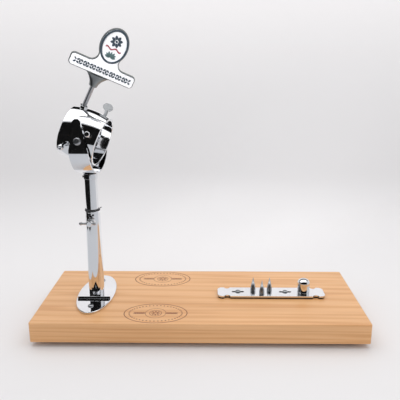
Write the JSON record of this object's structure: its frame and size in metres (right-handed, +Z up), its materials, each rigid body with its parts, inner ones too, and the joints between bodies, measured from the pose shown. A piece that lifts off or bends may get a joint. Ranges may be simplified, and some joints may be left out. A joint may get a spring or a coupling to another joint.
{
  "type": "ham holder stand",
  "caption": "Wooden board with a telescopic chrome column, a swivelling, tilting ring that grips a ham's shank with pointed screws, and a spiked rest plate.",
  "frame": {"origin": "on the surface the feet stand on, under the middle of the board", "axes": "+X along the board from the column to the ham rest, +Y to the far side of the board, +Z up"},
  "size_m": [0.6, 0.24, 0.5425],
  "materials": {
    "pine": "clear satin oil on pine",
    "chrome": "polished chrome plate",
    "steel": "zinc-bright steel",
    "black_steel": "blackened steel",
    "cast_metal": "satin cast metal",
    "rubber": "matt black rubber",
    "nylon": "black nylon",
    "white_enamel": "white enamel",
    "slate_enamel": "dark slate enamel"
  },
  "bodies": {
    "base": {"base_board": "pine", "rubber_foot_front_left": "rubber", "rubber_foot_front_right": "rubber", "rubber_foot_back_left": "rubber", "rubber_foot_back_right": "rubber", "foot_screw_front_left": "steel", "foot_screw_front_right": "steel", "foot_screw_back_left": "steel", "foot_screw_back_right": "steel", "foot_plate": "chrome", "foot_crossbar": "chrome", "plate_screw_front": "steel", "plate_screw_back": "steel", "column_plug": "steel", "column_bolt": "steel", "lower_tube": "chrome", "guide_bush": "nylon", "wire_clip": "black_steel", "lock_boss": "chrome", "keeper_tab": "chrome", "tab_screw_left": "black_steel", "tab_screw_right": "black_steel", "rest_screw_left": "steel", "rest_screw_right": "steel"},
    "ham_rest": {"rest_plate": "chrome", "rest_pad": "rubber", "stop_post": "chrome", "rest_spike_1": "steel", "rest_spike_2": "steel", "rest_spike_3": "steel"},
    "upper_column": {"upper_tube": "chrome", "tube_top_plug": "steel", "top_collar": "chrome", "collar_set_screw": "black_steel"},
    "cradle": {"cradle": "chrome", "cradle_bolt": "steel", "swivel_washer": "nylon", "pivot_washer_near": "nylon", "pivot_washer_far": "nylon"},
    "head": {"head_ring": "chrome", "handle_boss": "chrome", "pivot_screw_near": "steel", "pivot_screw_far": "steel"},
    "handle_point": {"spike_handle": "steel"},
    "handle_screw": {"handle_shaft": "steel", "sign_socket": "cast_metal", "sign_plate": "cast_metal", "sign_face": "white_enamel", "medallion_rim": "slate_enamel"},
    "lower_near_point": {"spike_lower_near": "steel"},
    "lower_near_screw": {"clamp_screw_lower_near": "chrome"},
    "lower_far_point": {"spike_lower_far": "steel"},
    "lower_far_screw": {"clamp_screw_lower_far": "chrome"},
    "upper_near_point": {"spike_upper_near": "steel"},
    "upper_near_screw": {"clamp_screw_upper_near": "chrome"},
    "upper_far_point": {"spike_upper_far": "steel"},
    "upper_far_screw": {"thumb_screw_upper_far": "chrome"},
    "lock_shoe": {"lock_shoe": "nylon"},
    "lock_screw": {"lock_screw": "chrome"},
    "tommy_bar": {"tommy_bar": "steel"}
  },
  "joints": [
    {"name": "column_slide", "type": "slide", "parent": "base", "child": "upper_column", "axis": [0, 0, 1], "range_m": [-0.05, 0.04]},
    {"name": "head_swivel", "type": "hinge", "parent": "upper_column", "child": "cradle", "pos_m": [-0.203, 0, 0.29], "axis": [0, 0, 1], "continuous": true},
    {"name": "head_tilt", "type": "hinge", "parent": "cradle", "child": "head", "pos_m": [-0.203, 0, 0.3555], "axis": [0.1392, 0.9903, 0], "range_deg": [-19, 30]},
    {"name": "rest_slide", "type": "slide", "parent": "base", "child": "ham_rest", "axis": [1, 0, 0], "range_m": [-0.008, 0.008]},
    {"name": "handle_travel", "type": "slide", "parent": "head", "child": "handle_point", "axis": [0.4715, -0.1702, 0.8653], "range_m": [-0.00305, 0.01005]},
    {"name": "handle_turn", "type": "hinge", "parent": "handle_point", "child": "handle_screw", "pos_m": [-0.20783, -0.0046, 0.40972], "axis": [0.4715, -0.1702, 0.8653], "range_deg": [-864, 2880]},
    {"name": "lower_near_travel", "type": "slide", "parent": "head", "child": "lower_near_point", "axis": [-0.2345, -0.9274, -0.2913], "range_m": [-0.003, 0.01]},
    {"name": "lower_near_turn", "type": "hinge", "parent": "lower_near_point", "child": "lower_near_screw", "pos_m": [-0.23713, -0.04322, 0.34895], "axis": [-0.2345, -0.9274, -0.2913], "range_deg": [-1083, 3603]},
    {"name": "lower_far_travel", "type": "slide", "parent": "head", "child": "lower_far_point", "axis": [-0.1178, 0.767, -0.6308], "range_m": [-0.003, 0.01]},
    {"name": "lower_far_turn", "type": "hinge", "parent": "lower_far_point", "child": "lower_far_screw", "pos_m": [-0.23129, 0.0415, 0.33197], "axis": [-0.1178, 0.767, -0.6308], "range_deg": [-1083, 3603]},
    {"name": "upper_near_travel", "type": "slide", "parent": "head", "child": "upper_near_point", "axis": [-0.0302, -0.9562, 0.2913], "range_m": [-0.003, 0.01]},
    {"name": "upper_near_turn", "type": "hinge", "parent": "upper_near_point", "child": "upper_near_screw", "pos_m": [-0.19051, -0.04978, 0.36506], "axis": [-0.0302, -0.9562, 0.2913], "range_deg": [-1083, 3603]},
    {"name": "upper_far_travel", "type": "slide", "parent": "head", "child": "upper_far_point", "axis": [0.3523, 0.1604, 0.922], "range_m": [-0.003, 0.01]},
    {"name": "upper_far_turn", "type": "hinge", "parent": "upper_far_point", "child": "upper_far_screw", "pos_m": [-0.17092, 0.00599, 0.39643], "axis": [0.3523, 0.1604, 0.922], "range_deg": [-1083, 3603]},
    {"name": "lock_travel", "type": "slide", "parent": "base", "child": "lock_shoe", "axis": [0, -1, 0], "range_m": [0, 0.006]},
    {"name": "lock_turn", "type": "hinge", "parent": "lock_shoe", "child": "lock_screw", "pos_m": [-0.203, -0.03, 0.2006], "axis": [0, -1, 0], "range_deg": [-3, 1731]},
    {"name": "tommy_bar_slide", "type": "slide", "parent": "lock_screw", "child": "tommy_bar", "axis": [1, 0, 0], "range_m": [0, 0.0074]}
  ],
  "couplings": [
    {"joint": "handle_travel", "follows": "handle_turn", "m_per_rad": 0.00019894},
    {"joint": "lower_near_turn", "follows": "lower_near_travel", "rad_per_m": 6283.2},
    {"joint": "lower_far_turn", "follows": "lower_far_travel", "rad_per_m": 6283.2},
    {"joint": "upper_near_turn", "follows": "upper_near_travel", "rad_per_m": 6283.2},
    {"joint": "upper_far_turn", "follows": "upper_far_travel", "rad_per_m": 6283.2},
    {"joint": "lock_turn", "follows": "lock_travel", "rad_per_m": 5026.5}
  ]
}
